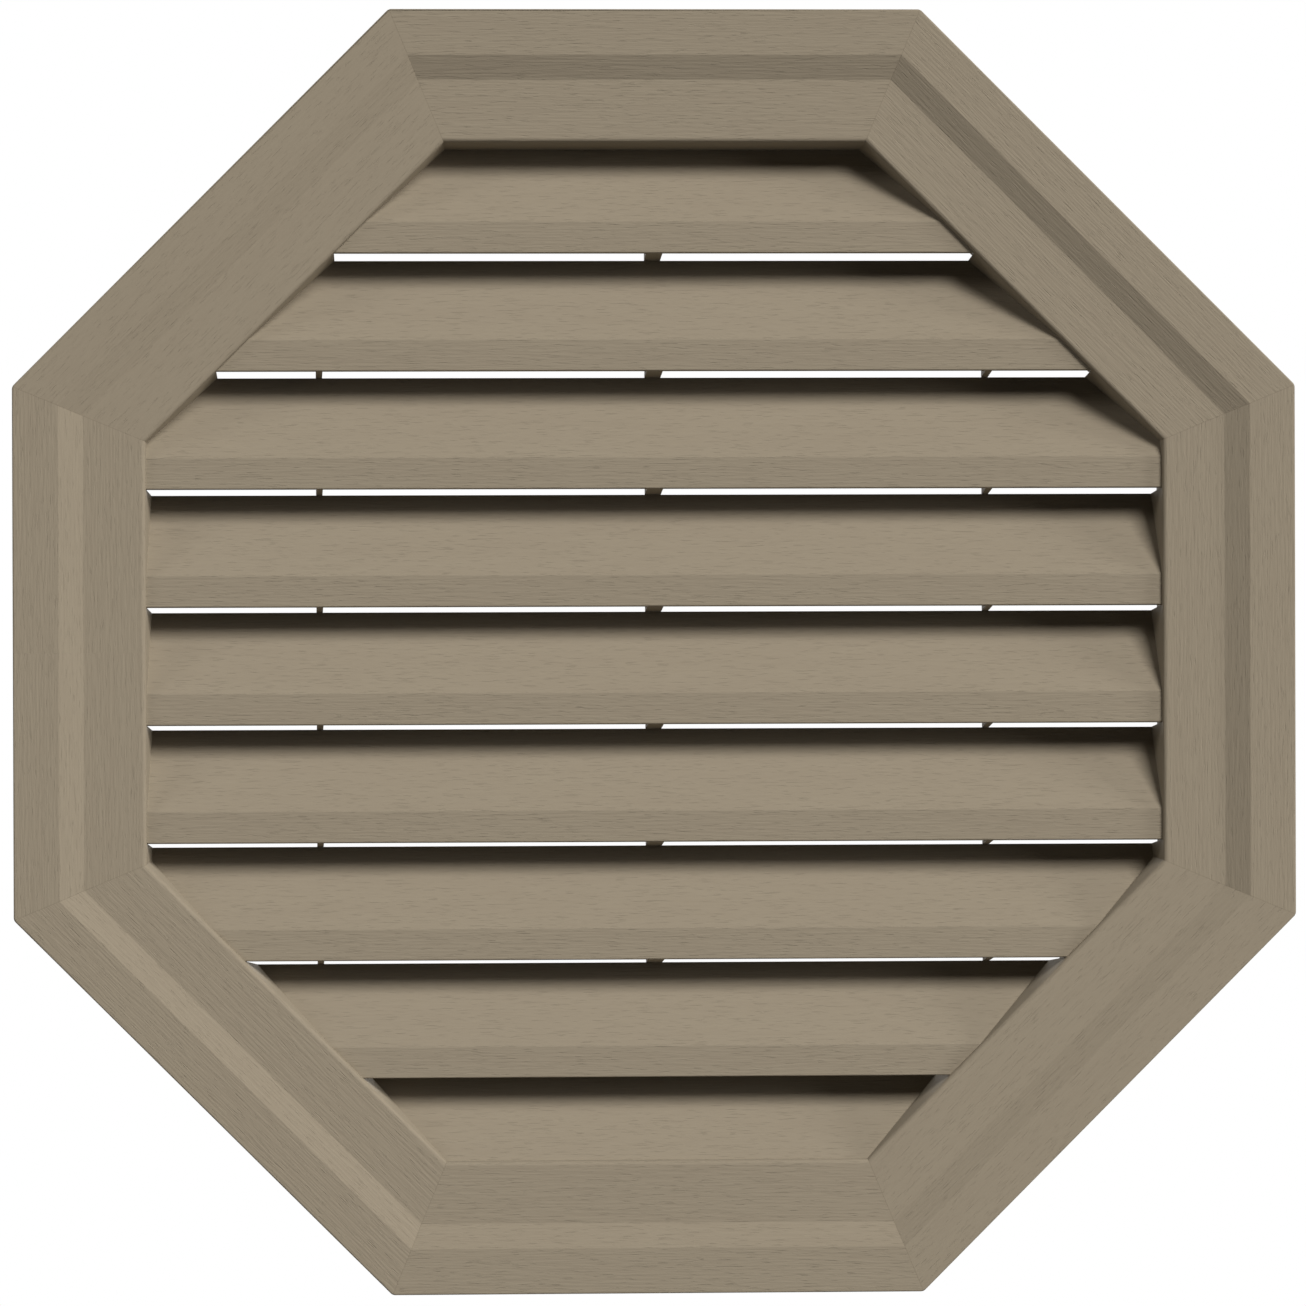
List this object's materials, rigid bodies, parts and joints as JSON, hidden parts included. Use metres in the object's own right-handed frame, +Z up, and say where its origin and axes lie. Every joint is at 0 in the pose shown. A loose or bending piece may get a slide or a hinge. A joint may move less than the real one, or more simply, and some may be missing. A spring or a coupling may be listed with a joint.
{
  "type": "octagonal gable vent",
  "caption": "Octagonal louvred gable vent with a bevelled face frame, downward slats and a throat that enters the wall.",
  "frame": {"origin": "centre of the octagon, on the plane of the wall that the frame's rim meets", "axes": "+Z up, +Y into the wall, so the louvred front faces -Y, and +X to the right as seen from the front"},
  "size_m": [0.5588, 0.042, 0.5588],
  "materials": {
    "body": "matte clay-beige moulded plastic with a fine wood-grain texture on the face and slats"
  },
  "bodies": {
    "root": {"vent_body": "body"}
  },
  "joints": []
}
